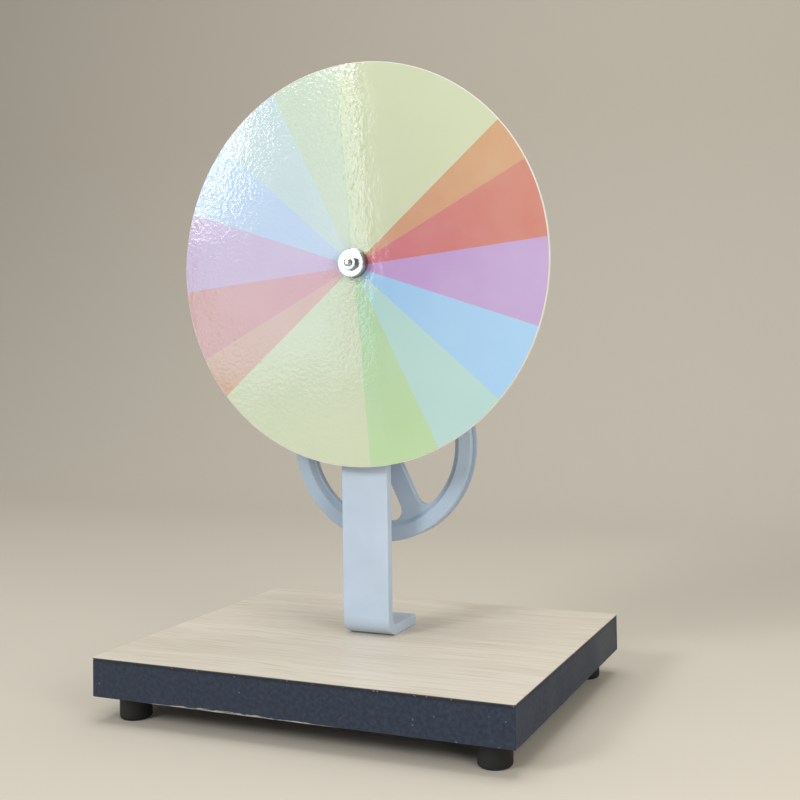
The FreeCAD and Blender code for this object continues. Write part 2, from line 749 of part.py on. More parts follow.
nodes = {
    "base_board": make_board(),
    "base_laminate": make_laminate(),
    "rubber_feet": make_feet(),
    "foot_screws": make_foot_screws(),
    "upright_bar": make_bar(),
    "bar_screws": make_bar_screws(),
    "bar_washers": make_bar_washers(),
    "spindle_bush": make_spindle_bush(),
    "bush_washer": make_bush_washer(),
    "bush_nut": make_bush_nut(),
    "wheel_axle": make_axle(),
    "axle_nut": make_axle_nut(),
    "axle_spacer": make_axle_spacer(),
    "axle_washer": make_axle_washer(),
    "axle_end_washer": make_axle_end_washer(),
    "axle_end_screw": make_axle_screw(),
    "drive_belt": make_belt(),
    "disc_spindle": make_spindle(),
    "disc_flange": make_disc_flange(),
    "color_disc": make_disc_core(),
    "disc_print": make_disc_print(),
    "clamp_collar": make_collar(),
    "front_washer": make_front_washer(),
    "hub_nut": make_hub_nut(),
    "thrust_washers": make_thrust_washers(),
    "driven_pulley": make_pulley(),
    "pulley_set_screw": make_set_screw(),
    "drive_wheel": make_wheel(),
    "wheel_bush": make_wheel_bush(),
    "crank_stud": make_crank_stud(),
    "crank_stud_nut": make_crank_nut(),
    "crank_washer": make_crank_washer(),
    "crank_screw": make_crank_screw(),
    "crank_grip": make_grip(),
}

os.makedirs("parts", exist_ok=True)
for name, shape in nodes.items():
    shape.exportStep("parts/" + name + ".step")
print(len(nodes), "nodes; belt ratio", round(wheel_pitch_radius / pulley_pitch_radius, 4))
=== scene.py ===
import bpy
import bmesh
import math
from mathutils import Matrix, Vector


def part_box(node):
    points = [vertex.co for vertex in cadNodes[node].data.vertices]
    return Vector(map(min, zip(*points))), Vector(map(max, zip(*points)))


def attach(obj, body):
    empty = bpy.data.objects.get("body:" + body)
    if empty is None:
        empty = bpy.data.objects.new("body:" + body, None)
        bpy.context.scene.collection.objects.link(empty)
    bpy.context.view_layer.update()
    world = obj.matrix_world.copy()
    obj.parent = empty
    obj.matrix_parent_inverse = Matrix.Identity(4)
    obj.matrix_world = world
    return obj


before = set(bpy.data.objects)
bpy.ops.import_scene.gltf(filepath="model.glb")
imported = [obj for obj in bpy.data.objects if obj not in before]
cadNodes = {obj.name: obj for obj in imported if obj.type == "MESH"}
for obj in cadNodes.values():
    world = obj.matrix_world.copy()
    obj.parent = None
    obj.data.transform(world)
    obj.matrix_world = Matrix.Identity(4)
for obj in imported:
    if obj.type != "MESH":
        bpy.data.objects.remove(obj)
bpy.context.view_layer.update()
print("frame loaded:", len(cadNodes), "nodes")


# small helpers for places, colours and objects

def nodeCentre(node):
    low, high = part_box(node)
    return (low + high) / 2


def srgb(red, green, blue):   # a screen colour, 0 to 255, as linear light
    def one(value):
        value = value / 255
        return value / 12.92 if value <= 0.04045 else ((value + 0.055) / 1.055) ** 2.4
    return (one(red), one(green), one(blue), 1.0)


def addObject(name, data):
    added = bpy.data.objects.new(name, data)
    bpy.context.scene.collection.objects.link(added)
    return added


def addMesh(name, bm, material):   # closes the bmesh
    mesh = bpy.data.meshes.new(name)
    bm.to_mesh(mesh)
    bm.free()
    mesh.materials.append(material)
    return addObject(name, mesh)


# shader helpers

def newMaterial(name):
    material = bpy.data.materials.new(name)
    material.use_nodes = True
    return material, material.node_tree, material.node_tree.nodes["Principled BSDF"]


def addNode(tree, kind, **values):
    node = tree.nodes.new(kind)
    for key, value in values.items():
        setattr(node, key, value)
    return node


def wire(tree, start, end):
    tree.links.new(start, end)


def feed(tree, value, socket):   # the value is a number, a colour or another node's output
    if isinstance(value, (int, float, tuple)):
        socket.default_value = value
    else:
        wire(tree, value, socket)


def mathNode(tree, operation, *values):
    node = addNode(tree, "ShaderNodeMath", operation=operation)
    for slot, value in enumerate(values):
        feed(tree, value, node.inputs[slot])
    return node.outputs[0]


def times(tree, first, *others):
    for other in others:
        first = mathNode(tree, "MULTIPLY", first, other)
    return first


def rangeNode(tree, value, span, result=(0.0, 1.0)):   # a span of values becomes the result, held at its ends
    node = addNode(tree, "ShaderNodeMapRange")
    wire(tree, value, node.inputs["Value"])
    node.inputs["From Min"].default_value, node.inputs["From Max"].default_value = span
    node.inputs["To Min"].default_value, node.inputs["To Max"].default_value = result
    return node.outputs["Result"]


def mixColours(tree, factor, first, second):
    node = addNode(tree, "ShaderNodeMix", data_type="RGBA")
    for slot, value in ((0, factor), (6, first), (7, second)):   # factor, A and B of a colour mix
        feed(tree, value, node.inputs[slot])
    return node.outputs[2]


def objectCoordinates(tree):
    return addNode(tree, "ShaderNodeTexCoord").outputs["Object"]


def objectPoint(tree, scale=(1, 1, 1), centre=(0, 0, 0)):
    mapping = addNode(tree, "ShaderNodeMapping")
    mapping.inputs["Location"].default_value = [-c * s for c, s in zip(centre, scale)]
    mapping.inputs["Scale"].default_value = scale
    wire(tree, objectCoordinates(tree), mapping.inputs["Vector"])
    return mapping.outputs["Vector"]


def splitPoint(tree, vector):
    split = addNode(tree, "ShaderNodeSeparateXYZ")
    wire(tree, vector, split.inputs["Vector"])
    return split.outputs


def noise(tree, vector, scale, detail=3.0, roughness=0.5, kind="FBM"):
    node = addNode(tree, "ShaderNodeTexNoise", noise_type=kind)
    node.inputs["Detail"].default_value = detail
    node.inputs["Roughness"].default_value = roughness
    feed(tree, scale, node.inputs["Scale"])
    wire(tree, vector, node.inputs["Vector"])
    return node.outputs["Fac"]


def noiseLayer(tree, stretch=(1, 1, 1), **look):   # fixed to the piece; a stretch under 1 draws it out
    return noise(tree, objectPoint(tree, stretch), **look)


def bump(tree, height, relief, strength, shader):   # the relief is in metres
    node = addNode(tree, "ShaderNodeBump")
    node.inputs["Distance"].default_value = relief
    node.inputs["Strength"].default_value = strength
    wire(tree, height, node.inputs["Height"])
    wire(tree, node.outputs["Normal"], shader.inputs["Normal"])


# shared effects, as node groups that give masks and heights

def newGroup(name, inputs, outputs):
    group = bpy.data.node_groups.new(name, "ShaderNodeTree")
    for label, value in inputs.items():
        socket = group.interface.new_socket(name=label, in_out="INPUT", socket_type="NodeSocketFloat")
        socket.default_value = value
    for label in outputs:
        group.interface.new_socket(name=label, in_out="OUTPUT", socket_type="NodeSocketFloat")
    start = group.nodes.new("NodeGroupInput")
    end = group.nodes.new("NodeGroupOutput")
    return group, start.outputs, end.inputs


def useGroup(tree, group, values):
    node = addNode(tree, "ShaderNodeGroup", node_tree=group)
    for label, value in values.items():
        node.inputs[label].default_value = value
    return node.outputs


def makeSurfaceGrain():   # fine bumps of paint, rubber or moulded plastic, and wide patches under them
    look = {"detail": 2.0, "patchScale": 0.035}
    group, start, end = newGroup("surfaceGrain", {"Scale": 900.0, "Unevenness": 0.5}, ("Height", "Patches"))
    where = objectCoordinates(group)
    fine = noise(group, where, start["Scale"], look["detail"])
    wide = noise(group, where, times(group, start["Scale"], look["patchScale"]), look["detail"])
    wire(group, mathNode(group, "ADD", fine, times(group, wide, start["Unevenness"])), end["Height"])
    wire(group, wide, end["Patches"])
    return group


def makeSpecks():   # small scattered dots, such as dust or paint nibs
    group, start, end = newGroup("specks", {"Scale": 300.0, "Size": 0.08, "Amount": 0.5}, ("Mask",))
    cells = addNode(group, "ShaderNodeTexVoronoi", feature="F1")
    wire(group, objectCoordinates(group), cells.inputs["Vector"])
    wire(group, start["Scale"], cells.inputs["Scale"])
    near = mathNode(group, "LESS_THAN", cells.outputs["Distance"], start["Size"])
    pick = addNode(group, "ShaderNodeSeparateColor")
    wire(group, cells.outputs["Color"], pick.inputs["Color"])
    chosen = mathNode(group, "LESS_THAN", pick.outputs["Red"], start["Amount"])
    wire(group, times(group, near, chosen), end["Mask"])
    return group


def makeEdgeWearAndHighlight():   # where an edge is sharp, broken up by noise: real wear on the board paint, a painted highlight on the frame paint
    look = {"samples": 6, "sharp": (0.995, 0.90), "detail": 4.0, "roughness": 0.65}
    group, start, end = newGroup("edgeWearAndHighlight", {"Radius": 0.0006, "Scale": 200.0, "Amount": 0.5}, ("Mask",))
    rounded = addNode(group, "ShaderNodeBevel", samples=look["samples"])
    wire(group, start["Radius"], rounded.inputs["Radius"])
    geometry = addNode(group, "ShaderNodeNewGeometry")
    agree = addNode(group, "ShaderNodeVectorMath", operation="DOT_PRODUCT")
    wire(group, rounded.outputs["Normal"], agree.inputs[0])
    wire(group, geometry.outputs["Normal"], agree.inputs[1])
    sharp = rangeNode(group, agree.outputs["Value"], look["sharp"])
    broken = noise(group, objectCoordinates(group), start["Scale"], look["detail"], look["roughness"])
    keep = mathNode(group, "GREATER_THAN", mathNode(group, "ADD", broken, start["Amount"]), 1.0)
    wire(group, times(group, sharp, keep), end["Mask"])
    return group


surfaceGrain = makeSurfaceGrain()
specks = makeSpecks()
edgeWearAndHighlight = makeEdgeWearAndHighlight()
print("shared effects made")


# finishes: every span is the part of a noise or a place over which a change takes place

framePaint = {"patches": (0.35, 0.65), "sheen": (0.3, 0.7), "bump": 0.5,
              "sharpEdges": {"Radius": 0.0005, "Scale": 260.0, "Amount": 0.42}, "edgeAmount": 0.6}
# each frame paint's paler tint for its sharp edges is a painted highlight
barPaint = {"colour": srgb(193, 208, 226), "shade": srgb(185, 201, 219), "edgeHighlight": srgb(218, 226, 235),
            "roughness": (0.29, 0.41), "grain": {"Scale": 1500.0, "Unevenness": 0.8}, "relief": 0.00003}
# painted shade: the casting's colours are the bar's paint darkened, standing for the shade the disc and bar
# cast over the wheel; the coarser grain is the casting's own
shadedCastPaint = {"colour": srgb(178, 195, 214), "shade": srgb(168, 186, 206), "edgeHighlight": srgb(206, 216, 227),
             "roughness": (0.31, 0.43), "grain": {"Scale": 700.0, "Unevenness": 3.0}, "relief": 0.00009}


def makeFramePaint(name, paint):
    material, tree, shader = newMaterial(name)
    grain = useGroup(tree, surfaceGrain, paint["grain"])
    sharpEdges = useGroup(tree, edgeWearAndHighlight, framePaint["sharpEdges"])
    patches = rangeNode(tree, grain["Patches"], framePaint["patches"])
    colour = mixColours(tree, patches, paint["colour"], paint["shade"])
    # painted highlight: the sharp edges of the frame paint are mixed toward a paler tint of the same paint
    colour = mixColours(tree, times(tree, sharpEdges["Mask"], framePaint["edgeAmount"]), colour, paint["edgeHighlight"])
    wire(tree, colour, shader.inputs["Base Color"])
    rough = rangeNode(tree, grain["Patches"], framePaint["sheen"], paint["roughness"])
    wire(tree, rough, shader.inputs["Roughness"])
    bump(tree, grain["Height"], paint["relief"], framePaint["bump"], shader)
    return material


boardPaint = {
    "colour": srgb(34, 43, 60), "shade": srgb(47, 57, 74),
    "mottle": {"scale": 520.0, "roughness": 0.6}, "mottleSpan": (0.36, 0.64),
    "line": srgb(22, 26, 34), "lineDepth": (0.0016, 0.0006), "lineAmount": 0.7,   # just under the laminate
    "speck": srgb(132, 136, 144), "speckAmount": 0.45,
    "specks": {"Scale": 420.0, "Size": 0.16, "Amount": 0.04},
    "chip": srgb(192, 188, 182), "chipAmount": 0.8,
    "chips": {"Scale": 95.0, "Size": 0.07, "Amount": 0.05},
    "edgeAmount": 0.7,
    "sharpEdges": {"Radius": 0.0009, "Scale": 330.0, "Amount": 0.36},
    "grain": {"Scale": 800.0, "Unevenness": 1.2}, "relief": 0.00016, "bump": 0.6,
    "sheen": (0.3, 0.7), "roughness": (0.46, 0.62), "gloss": 0.34,
}
sliver = {   # bare board along the bottom of the front, torn along the fibres
    "left": (-0.074, -0.044), "right": (0.026, -0.014), "tall": 0.0014, "skin": (0.002, 0.001),
    "torn": {"stretch": (0.6, 1.0, 2.5), "scale": 210.0, "detail": 5.0, "roughness": 0.7},
    "tornSpan": (0.3, 0.68),
    "fibres": {"stretch": (0.12, 1.0, 1.6), "scale": 1500.0, "roughness": 0.6},
    "fibreSpan": (0.38, 0.62), "fibre": srgb(104, 102, 101), "deeper": 4.0, "rougher": 0.3,
}


def bareSliver(tree, place, low):
    left = rangeNode(tree, place["X"], sliver["left"])
    right = rangeNode(tree, place["X"], sliver["right"])
    torn = rangeNode(tree, noiseLayer(tree, **sliver["torn"]), sliver["tornSpan"])
    reach = times(tree, torn, left, right, sliver["tall"])
    aboveEdge = mathNode(tree, "SUBTRACT", place["Z"], low.z)
    inFront = rangeNode(tree, place["Y"], [low.y + depth for depth in sliver["skin"]])
    return times(tree, mathNode(tree, "LESS_THAN", aboveEdge, reach), inFront)


def makeBoardPaint():
    material, tree, shader = newMaterial("boardPaint")
    low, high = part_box("base_board")
    place = splitPoint(tree, objectCoordinates(tree))
    grain = useGroup(tree, surfaceGrain, boardPaint["grain"])
    dots = useGroup(tree, specks, boardPaint["specks"])
    chips = useGroup(tree, specks, boardPaint["chips"])
    sharpEdges = useGroup(tree, edgeWearAndHighlight, boardPaint["sharpEdges"])
    mottle = rangeNode(tree, noiseLayer(tree, **boardPaint["mottle"]), boardPaint["mottleSpan"])
    colour = mixColours(tree, mottle, boardPaint["colour"], boardPaint["shade"])
    line = [high.z - depth for depth in boardPaint["lineDepth"]]
    underTop = rangeNode(tree, place["Z"], line, (0.0, boardPaint["lineAmount"]))
    colour = mixColours(tree, underTop, colour, boardPaint["line"])
    for mask, amount, tone in ((dots["Mask"], boardPaint["speckAmount"], boardPaint["speck"]),
                               (chips["Mask"], boardPaint["chipAmount"], boardPaint["chip"]),
                               (sharpEdges["Mask"], boardPaint["edgeAmount"], boardPaint["chip"])):
        colour = mixColours(tree, times(tree, mask, amount), colour, tone)
    bare = bareSliver(tree, place, low)
    fibres = rangeNode(tree, noiseLayer(tree, **sliver["fibres"]), sliver["fibreSpan"])
    wood = mixColours(tree, fibres, boardPaint["chip"], sliver["fibre"])
    wire(tree, mixColours(tree, bare, colour, wood), shader.inputs["Base Color"])
    rough = rangeNode(tree, grain["Patches"], boardPaint["sheen"], boardPaint["roughness"])
    rough = mathNode(tree, "ADD", rough, times(tree, bare, sliver["rougher"]))
    wire(tree, rough, shader.inputs["Roughness"])
    shader.inputs["Specular IOR Level"].default_value = boardPaint["gloss"]
    height = mathNode(tree, "SUBTRACT", grain["Height"], times(tree, bare, sliver["deeper"]))
    bump(tree, height, boardPaint["relief"], boardPaint["bump"], shader)
    return material


laminate = {
    "light": srgb(219, 211, 198), "mid": srgb(210, 200, 184), "dark": srgb(192, 179, 158),
    "drift": {"stretch": (6, 13, 1), "scale": 1.0, "detail": 2.0},   # long low waves, which bend the grain
    "bend": 0.026,
    # each layer of the grain: its scale along and across the board, detail and roughness
    "bands": (3.6, 120.0, 4.0, 0.55), "bandSpan": (0.34, 0.66),
    "streaks": (22.0, 620.0, 5.0, 0.62), "streakSpan": (0.50, 0.70), "streakAmount": 0.85,
    "pores": (90.0, 2600.0, 2.0, 0.5), "poreSpan": (0.64, 0.76), "poreAmount": 0.4,
    "edge": srgb(56, 60, 70), "sideways": (0.45, 0.25), "highlightLip": (0.00025, 0.00045),   # its side is painted, save a strip along its top left in the pale wood colour as a painted highlight
    "sheen": (0.35, 0.7), "roughness": (0.39, 0.54),
    "streakDepth": 0.6, "poreDepth": 0.5, "relief": 0.00006, "bump": 0.5,
}


def makeLaminate():
    material, tree, shader = newMaterial("mapleLaminate")
    place = splitPoint(tree, objectCoordinates(tree))
    drift = mathNode(tree, "SUBTRACT", noiseLayer(tree, **laminate["drift"]), 0.5)   # noise lies about a half
    across = mathNode(tree, "ADD", place["Y"], times(tree, drift, laminate["bend"]))

    def grainLayer(alongScale, acrossScale, detail, roughness):
        joined = addNode(tree, "ShaderNodeCombineXYZ")
        wire(tree, times(tree, place["X"], alongScale), joined.inputs["X"])
        wire(tree, times(tree, across, acrossScale), joined.inputs["Y"])
        return noise(tree, joined.outputs["Vector"], 1.0, detail, roughness)

    bands = grainLayer(*laminate["bands"])
    streaks = grainLayer(*laminate["streaks"])
    pores = grainLayer(*laminate["pores"])
    banded = rangeNode(tree, bands, laminate["bandSpan"])
    colour = mixColours(tree, banded, laminate["light"], laminate["mid"])
    streaked = rangeNode(tree, streaks, laminate["streakSpan"], (0.0, laminate["streakAmount"]))
    colour = mixColours(tree, streaked, colour, laminate["dark"])
    pored = rangeNode(tree, pores, laminate["poreSpan"], (0.0, laminate["poreAmount"]))
    colour = mixColours(tree, pored, colour, laminate["dark"])
    facing = splitPoint(tree, addNode(tree, "ShaderNodeNewGeometry").outputs["Normal"])
    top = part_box("base_laminate")[1].z
    # painted highlight: the top strip of the side keeps the pale wood colour where the edge catches light
    belowHighlightLip = rangeNode(tree, place["Z"], [top - depth for depth in laminate["highlightLip"]])
    painted = times(tree, rangeNode(tree, facing["Z"], laminate["sideways"]), belowHighlightLip)
    wire(tree, mixColours(tree, painted, colour, laminate["edge"]), shader.inputs["Base Color"])
    rough = rangeNode(tree, streaks, laminate["sheen"], laminate["roughness"])
    wire(tree, rough, shader.inputs["Roughness"])
    depth = mathNode(tree, "ADD", times(tree, streaks, laminate["streakDepth"]),
                     times(tree, pores, laminate["poreDepth"]))
    bump(tree, mathNode(tree, "SUBTRACT", 1.0, depth), laminate["relief"], laminate["bump"], shader)
    return material


discLook = {
    "start": -4.7,            # degrees clockwise from the top, where the yellow sector begins
    "offCentre": (-0.0009, 0.0, -0.0014),   # the print is glued a little low and to the left
    "sectors": [              # width in degrees, colour near the hub, colour near the rim
        (54.0, srgb(193, 203, 174), srgb(202, 211, 180)),
        (13.35, srgb(196, 145, 122), srgb(204, 161, 124)),
        (21.25, srgb(195, 114, 128), srgb(201, 132, 119)),
        (24.0, srgb(181, 148, 200), srgb(188, 162, 208)),
        (22.6, srgb(150, 191, 230), srgb(163, 203, 237)),
        (22.6, srgb(167, 204, 202), srgb(179, 212, 208)),
        (22.2, srgb(168, 201, 165), srgb(182, 211, 164))],
    "fade": (0.15, 0.85),     # from the hub's colour to the rim's, as shares of the radius
    "blotches": {"scale": 34.0, "roughness": 0.55}, "blotchSpan": (0.35, 0.7), "blotchAmount": 0.09,
    "blotch": srgb(226, 228, 222),
    "seamLean": 0.0787,       # to the right for each metre down
    "glareHaze": (0.59, 0.52, 0.55, 1.0), "glareHazeAmount": 0.38,   # painted glare: a greyed haze standing for the window's reflection, mixed into the print left of the seam, past its yellow sector
    "glareHazeEdge": (0.0, -0.0015), "glareHazeFoot": (-0.070, -0.048),
    "roughness": 0.06, "gloss": 0.62,
}
filmLook = {                  # the glossy film: places are metres right of the seam, or above the hub
    "relief": 0.00001,
    "fine": {"stretch": (0.9, 1.0, 1.0), "scale": 500.0, "detail": 2.0, "roughness": 0.6},
    "fineDepth": (8.0, 2.0), "calmerFrom": (0.009, 0.014),
    "creases": {"stretch": (1.0, 1.0, 0.85), "scale": 400.0, "detail": 2.0, "kind": "RIDGED_MULTIFRACTAL"},
    "creaseDepth": 5.0,
    "waves": {"scale": 45.0, "detail": 2.0}, "waveDepth": 12.0,
    "strip": ((-0.0035, 0.0), (0.013, 0.008)), "stripAmount": 1.8, "aboveHub": (0.010, 0.025),
    "beside": ((-0.014, -0.006), (0.001, -0.001)), "besideSpan": (0.42, 0.58),
    "patches": {"scale": 26.0, "detail": 2.0}, "liftedSpan": (0.40, 0.56),
    "liftedReach": (0.35, 0.8), "liftedSide": (-0.022, -0.045),
}


def sectorRamp(tree, share, which):   # which: 1 is the hub's colours, 2 the rim's
    ramp = addNode(tree, "ShaderNodeValToRGB")
    stops = ramp.color_ramp.elements
    ramp.color_ramp.interpolation = "CONSTANT"
    position = 0.0
    for index, sector in enumerate(discLook["sectors"]):
        stop = stops[0] if index == 0 else stops.new(position)
        stop.position = position
        stop.color = sector[which]
        position += sector[0] / 180
    stops.remove(stops[-1])   # a new ramp has a second stop at its end
    wire(tree, share, ramp.inputs["Fac"])
    return ramp.outputs["Color"]


def filmHeight(tree, place, seam, reach):   # crinkled all over, creased beside the seam and where it lifted
    fine = noiseLayer(tree, **filmLook["fine"])
    crinkled = times(tree, fine, rangeNode(tree, seam, filmLook["calmerFrom"], filmLook["fineDepth"]))
    patches = noiseLayer(tree, **filmLook["patches"])
    upper = rangeNode(tree, place["Z"], filmLook["aboveHub"])
    strip = times(tree, *(rangeNode(tree, seam, span) for span in filmLook["strip"]), upper)
    beside = times(tree, *(rangeNode(tree, seam, span) for span in filmLook["beside"]),
                   rangeNode(tree, patches, filmLook["besideSpan"]), upper)
    lifted = times(tree, rangeNode(tree, patches, filmLook["liftedSpan"]),
                   rangeNode(tree, reach, filmLook["liftedReach"]),
                   rangeNode(tree, place["X"], filmLook["liftedSide"]))
    where = mathNode(tree, "MAXIMUM", lifted, beside)
    where = mathNode(tree, "MAXIMUM", times(tree, strip, filmLook["stripAmount"]), where)
    creased = times(tree, noiseLayer(tree, **filmLook["creases"]), where, filmLook["creaseDepth"])
    waves = times(tree, noiseLayer(tree, **filmLook["waves"]), filmLook["waveDepth"])
    return mathNode(tree, "ADD", mathNode(tree, "ADD", creased, crinkled), waves)


def makeDiscPrint():
    material, tree, shader = newMaterial("discPrint")
    low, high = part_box("color_disc")
    centre = [c + o for c, o in zip(nodeCentre("color_disc"), discLook["offCentre"])]
    local = objectPoint(tree, centre=centre)
    place = splitPoint(tree, local)
    turn = mathNode(tree, "ARCTAN2", place["X"], place["Z"])   # clockwise from the top
    turn = mathNode(tree, "SUBTRACT", turn, math.radians(discLook["start"]))
    halfTurns = mathNode(tree, "DIVIDE", turn, math.pi)        # both halves carry the same sectors
    share = mathNode(tree, "FRACT", mathNode(tree, "ADD", halfTurns, 4.0))   # the added turns keep it above 0
    flat = addNode(tree, "ShaderNodeVectorMath", operation="MULTIPLY")
    flat.inputs[1].default_value = (1, 0, 1)
    wire(tree, local, flat.inputs[0])
    length = addNode(tree, "ShaderNodeVectorMath", operation="LENGTH")
    wire(tree, flat.outputs["Vector"], length.inputs[0])
    reach = mathNode(tree, "DIVIDE", length.outputs["Value"], (high.x - low.x) / 2)   # 1 at the rim
    fade = rangeNode(tree, reach, discLook["fade"])
    colour = mixColours(tree, fade, sectorRamp(tree, share, 1), sectorRamp(tree, share, 2))
    ink = noiseLayer(tree, **discLook["blotches"])
    blotches = rangeNode(tree, ink, discLook["blotchSpan"], (0.0, discLook["blotchAmount"]))
    colour = mixColours(tree, blotches, colour, discLook["blotch"])
    seam = mathNode(tree, "ADD", place["X"], times(tree, place["Z"], discLook["seamLean"]))
    pastYellow = mathNode(tree, "GREATER_THAN", share, discLook["sectors"][0][0] / 180)
    # painted glare: the print left of the seam is mixed toward a grey haze where the window's reflection
    # falls
    paintedGlare = times(tree, rangeNode(tree, seam, discLook["glareHazeEdge"]), pastYellow,
                  rangeNode(tree, place["Z"], discLook["glareHazeFoot"]), discLook["glareHazeAmount"])
    wire(tree, mixColours(tree, paintedGlare, colour, discLook["glareHaze"]), shader.inputs["Base Color"])
    bump(tree, filmHeight(tree, place, seam, reach), filmLook["relief"], 1.0, shader)
    shader.inputs["Roughness"].default_value = discLook["roughness"]
    shader.inputs["Specular IOR Level"].default_value = discLook["gloss"]
    return material


discCore = {"colour": srgb(238, 236, 229), "stain": srgb(231, 228, 218), "stainSpan": (0.4, 0.7),
            "grain": {"Scale": 500.0, "Unevenness": 0.4}, "roughness": 0.38, "relief": 0.00003, "bump": 0.5}


def makeDiscCore():
    material, tree, shader = newMaterial("discCoreWhite")
    grain = useGroup(tree, surfaceGrain, discCore["grain"])
    stained = rangeNode(tree, grain["Patches"], discCore["stainSpan"])
    colour = mixColours(tree, stained, discCore["colour"], discCore["stain"])
    wire(tree, colour, shader.inputs["Base Color"])
    shader.inputs["Roughness"].default_value = discCore["roughness"]
    bump(tree, grain["Height"], discCore["relief"], discCore["bump"], shader)
    return material


metalLook = {"turned": {"scale": 60.0, "roughness": 0.6}, "smudge": {"scale": 220.0, "roughness": 0.55},
             "darkSpan": (0.45, 0.75), "darkAmount": 0.8, "dark": 0.8,
             "sheen": (0.3, 0.75), "smoother": 0.8, "rougher": 1.5, "relief": 0.00002, "bump": 0.35}


def makeMetal(name, colour, roughness, lines):   # lines: how much finer the turning marks are along the axis
    material, tree, shader = newMaterial(name)
    shader.inputs["Metallic"].default_value = 1.0
    turned = noiseLayer(tree, (1, lines, 1), **metalLook["turned"])
    smudge = noiseLayer(tree, **metalLook["smudge"])
    dark = tuple(part * metalLook["dark"] for part in colour[:3]) + (1.0,)
    darker = rangeNode(tree, smudge, metalLook["darkSpan"], (0.0, metalLook["darkAmount"]))
    wire(tree, mixColours(tree, darker, colour, dark), shader.inputs["Base Color"])
    ends = (roughness * metalLook["smoother"], roughness * metalLook["rougher"])
    wire(tree, rangeNode(tree, smudge, metalLook["sheen"], ends), shader.inputs["Roughness"])
    bump(tree, turned, metalLook["relief"], metalLook["bump"], shader)
    return material


rubberLook = {"unevenness": 0.6, "bloom": (0.4, 0.75), "bloomAmount": 0.5, "paler": 2.2, "lift": 0.02,
              "dust": {"Scale": 500.0, "Size": 0.12, "Amount": 0.04}, "dustColour": srgb(120, 118, 112),
              "dustAmount": 0.5, "sheen": (0.3, 0.7), "smoother": 0.06, "rougher": 0.08, "bump": 0.6}


def makeRubber(name, colour, roughness, scale, relief):
    material, tree, shader = newMaterial(name)
    grain = useGroup(tree, surfaceGrain, {"Scale": scale, "Unevenness": rubberLook["unevenness"]})
    dust = useGroup(tree, specks, rubberLook["dust"])
    pale = tuple(part * rubberLook["paler"] + rubberLook["lift"] for part in colour[:3]) + (1.0,)
    bloom = rangeNode(tree, grain["Patches"], rubberLook["bloom"], (0.0, rubberLook["bloomAmount"]))
    shade = mixColours(tree, bloom, colour, pale)
    dusty = times(tree, dust["Mask"], rubberLook["dustAmount"])
    wire(tree, mixColours(tree, dusty, shade, rubberLook["dustColour"]), shader.inputs["Base Color"])
    ends = (roughness - rubberLook["smoother"], roughness + rubberLook["rougher"])
    wire(tree, rangeNode(tree, grain["Patches"], rubberLook["sheen"], ends), shader.inputs["Roughness"])
    bump(tree, grain["Height"], relief, rubberLook["bump"], shader)
    return material


finishes = {
    "barPaint": makeFramePaint("barPaint", barPaint),
    "shadedCastPaint": makeFramePaint("shadedCastingPaint", shadedCastPaint),
    "boardPaint": makeBoardPaint(),
    "laminate": makeLaminate(),
    "discPrint": makeDiscPrint(),
    "discCore": makeDiscCore(),
    # name, colour, roughness, fineness of the turning marks
    "chrome": makeMetal("hubChrome", srgb(206, 208, 211), 0.17, 14.0),
    # painted shade: the collar's steel is darker than the other steel, standing for the dark rim of shade
    # around the washer
    "shadedCollarSteel": makeMetal("shadedCollarSteel", srgb(142, 144, 148), 0.24, 30.0),
    "zinc": makeMetal("zincPlate", srgb(196, 198, 200), 0.26, 9.0),
    "steel": makeMetal("turnedSteel", srgb(186, 187, 188), 0.22, 26.0),
    "blackSteel": makeMetal("blackOxide", srgb(58, 58, 60), 0.35, 9.0),
    "brass": makeMetal("bushBrass", srgb(205, 168, 98), 0.24, 22.0),
    # name, colour, roughness, scale of the grain, its relief
    "footRubber": makeRubber("footRubber", srgb(14, 16, 17), 0.66, 1300.0, 0.00004),
    "beltRubber": makeRubber("beltRubber", srgb(30, 30, 31), 0.5, 2200.0, 0.00003),
    "gripPlastic": makeRubber("gripPlastic", srgb(31, 31, 33), 0.4, 1700.0, 0.00004),
}
print("finishes made:", len(finishes))

# what each CAD node is finished in
nodeFinish = {
    "base_board": "boardPaint", "base_laminate": "laminate", "rubber_feet": "footRubber",
    "foot_screws": "zinc", "upright_bar": "barPaint", "bar_screws": "zinc", "bar_washers": "zinc",
    "spindle_bush": "brass", "bush_washer": "zinc", "bush_nut": "zinc", "wheel_axle": "steel",
    "axle_nut": "zinc", "axle_spacer": "steel", "axle_washer": "zinc", "axle_end_washer": "zinc",
    "axle_end_screw": "zinc", "drive_belt": "beltRubber", "disc_spindle": "chrome",
    "disc_flange": "steel", "color_disc": "discCore", "disc_print": "discPrint",
    "clamp_collar": "shadedCollarSteel", "front_washer": "chrome", "hub_nut": "chrome",
    "thrust_washers": "zinc", "driven_pulley": "steel", "pulley_set_screw": "blackSteel",
    "drive_wheel": "shadedCastPaint", "wheel_bush": "brass", "crank_stud": "steel", "crank_stud_nut": "zinc",
    "crank_washer": "zinc", "crank_screw": "zinc", "crank_grip": "gripPlastic",
}
for node, finish in nodeFinish.items():
    piece = cadNodes[node]
    piece.data.materials.clear()
    piece.data.materials.append(finishes[finish])
print("CAD nodes finished:", len(nodeFinish))


# the one piece finer than the CAD: the thread of the spindle bush behind its nut, wound as one ridge along Y

bushThread = {"radius": 0.005, "pitch": 0.001, "proud": 0.00009, "root": 0.0001,
              "halfFoot": 0.42, "halfCrest": 0.06,   # as shares of the pitch
              "runOut": 0.0002, "stepsPerTurn": 48}


